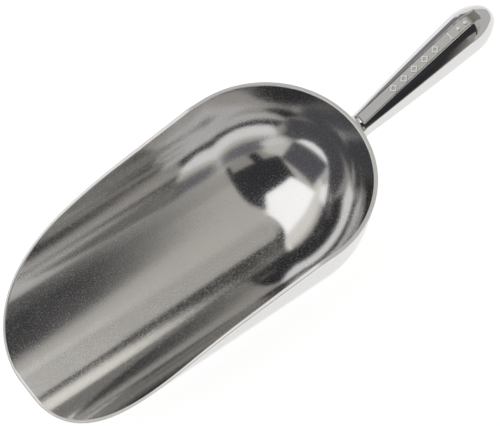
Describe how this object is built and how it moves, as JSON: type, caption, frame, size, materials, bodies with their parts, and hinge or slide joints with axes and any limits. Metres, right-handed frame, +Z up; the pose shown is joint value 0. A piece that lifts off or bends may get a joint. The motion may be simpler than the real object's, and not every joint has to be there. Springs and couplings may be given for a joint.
{
  "type": "ice scoop",
  "caption": "Cast aluminium ice scoop: round-heeled trough bowl whose rim slopes to a thin lip, and a tapered, upward-tilted round grip with a sunk panel on top.",
  "frame": {"origin": "on the surface that the scoop rests on, under the centre of the bowl's round heel", "axes": "+X from the bowl towards the handle, so the lip points along -X; +Z up out of the open bowl; Y across the bowl, and Y = 0 is its mirror plane"},
  "size_m": [0.2941, 0.112, 0.0914],
  "materials": {
    "cast_bowl": "satin, tumbled casting with a ground rim",
    "polished_handle": "polished",
    "raised_marks": "polished, raised from the panel"
  },
  "bodies": {
    "root": {"bowl_heel": "cast_bowl", "bowl_trough": "cast_bowl", "handle_neck": "polished_handle", "handle_grip": "polished_handle", "handle_marks": "raised_marks"}
  },
  "joints": []
}
